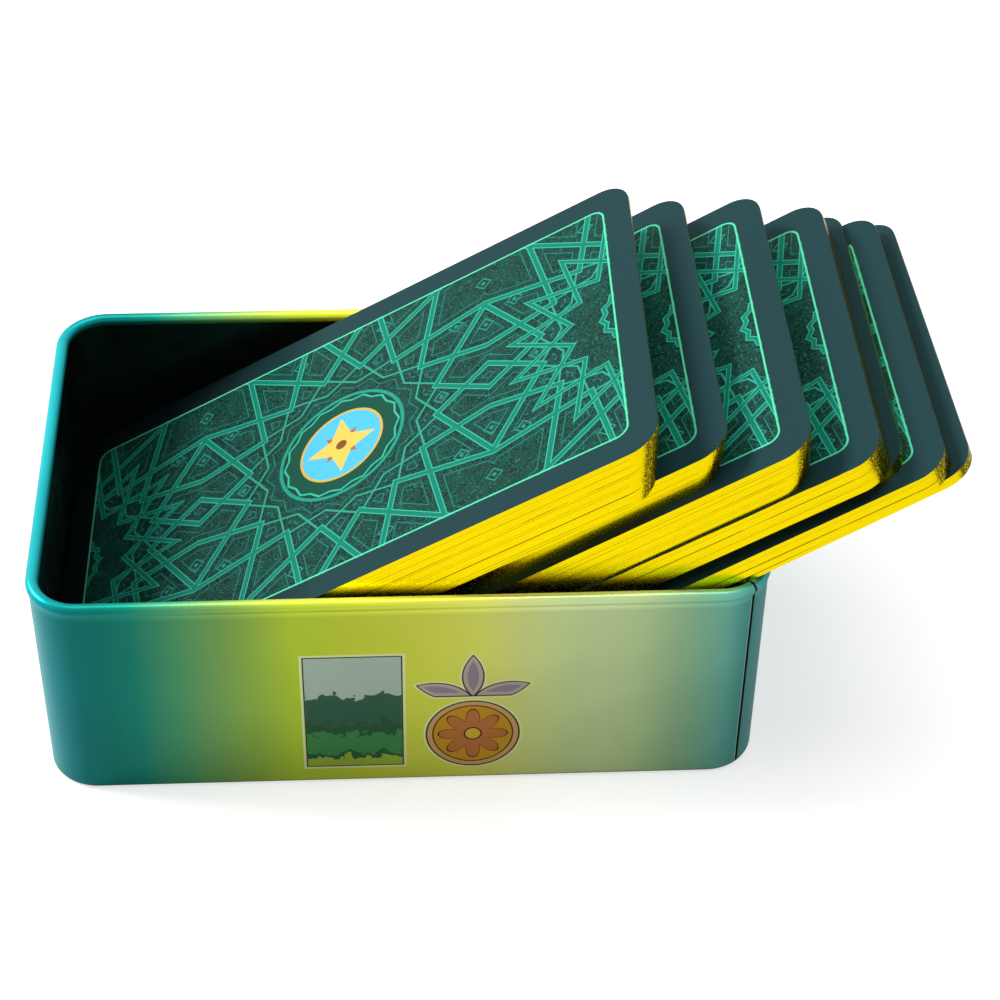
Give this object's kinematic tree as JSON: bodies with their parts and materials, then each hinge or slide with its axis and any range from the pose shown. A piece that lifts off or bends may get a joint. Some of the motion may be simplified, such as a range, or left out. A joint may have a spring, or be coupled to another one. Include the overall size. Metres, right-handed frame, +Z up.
{
  "type": "card game tin",
  "caption": "Open tinplate card box with a rolled rim and a lock seam, holding a deck of gilt-edged cards fanned up a slope over one end.",
  "frame": {"origin": "middle of the tin's footprint, on the surface it stands on", "axes": "+Z up, +X along the tin's length towards the end that the cards rise over, +Y towards its back"},
  "size_m": [0.1566, 0.0808, 0.0758],
  "materials": {
    "lacquered_tinplate": "gloss lacquer, teal ends fading to yellow-green",
    "tin_floor_lacquer": "dark gloss lacquer",
    "card_back_print": "satin coated print",
    "gilt_card_edges": "gilt edges",
    "card_stock": "satin coated card"
  },
  "bodies": {
    "tin": {"tin_wall": "lacquered_tinplate", "tin_bottom": "tin_floor_lacquer"},
    "packet_1": {"packet_1_top_card": "card_back_print", "packet_1_middle_cards": "gilt_card_edges", "packet_1_bottom_card": "card_stock"},
    "packet_2": {"packet_2_top_card": "card_back_print", "packet_2_middle_cards": "gilt_card_edges", "packet_2_bottom_card": "card_stock"},
    "packet_3": {"packet_3_top_card": "card_back_print", "packet_3_middle_cards": "gilt_card_edges", "packet_3_bottom_card": "card_stock"},
    "packet_4": {"packet_4_top_card": "card_back_print", "packet_4_middle_cards": "gilt_card_edges", "packet_4_bottom_card": "card_stock"},
    "packet_5": {"packet_5_top_card": "card_back_print", "packet_5_middle_cards": "gilt_card_edges", "packet_5_bottom_card": "card_stock"},
    "packet_6": {"packet_6_top_card": "card_back_print", "packet_6_middle_cards": "gilt_card_edges", "packet_6_bottom_card": "card_stock"},
    "packet_7": {"packet_7_top_card": "card_back_print", "packet_7_middle_cards": "gilt_card_edges", "packet_7_bottom_card": "card_stock"}
  },
  "joints": [
    {"name": "packet_1_slide", "type": "slide", "parent": "tin", "child": "packet_1", "axis": [0.8589, -0.0105, 0.512], "range_m": [0, 0.06]},
    {"name": "packet_2_slide", "type": "slide", "parent": "tin", "child": "packet_2", "axis": [0.8589, 0.0105, 0.512], "range_m": [0, 0.06]},
    {"name": "packet_3_slide", "type": "slide", "parent": "tin", "child": "packet_3", "axis": [0.8589, 0.0087, 0.512], "range_m": [0, 0.06]},
    {"name": "packet_4_slide", "type": "slide", "parent": "tin", "child": "packet_4", "axis": [0.8589, 0.007, 0.512], "range_m": [-0.0027, 0.06]},
    {"name": "packet_5_slide", "type": "slide", "parent": "tin", "child": "packet_5", "axis": [0.8589, 0.0087, 0.512], "range_m": [-0.0017, 0.06]},
    {"name": "packet_6_slide", "type": "slide", "parent": "tin", "child": "packet_6", "axis": [0.8588, 0.0218, 0.5119], "range_m": [-0.0007, 0.06]},
    {"name": "packet_7_slide", "type": "slide", "parent": "tin", "child": "packet_7", "axis": [0.8584, 0.0366, 0.5117], "range_m": [0, 0.06]}
  ]
}
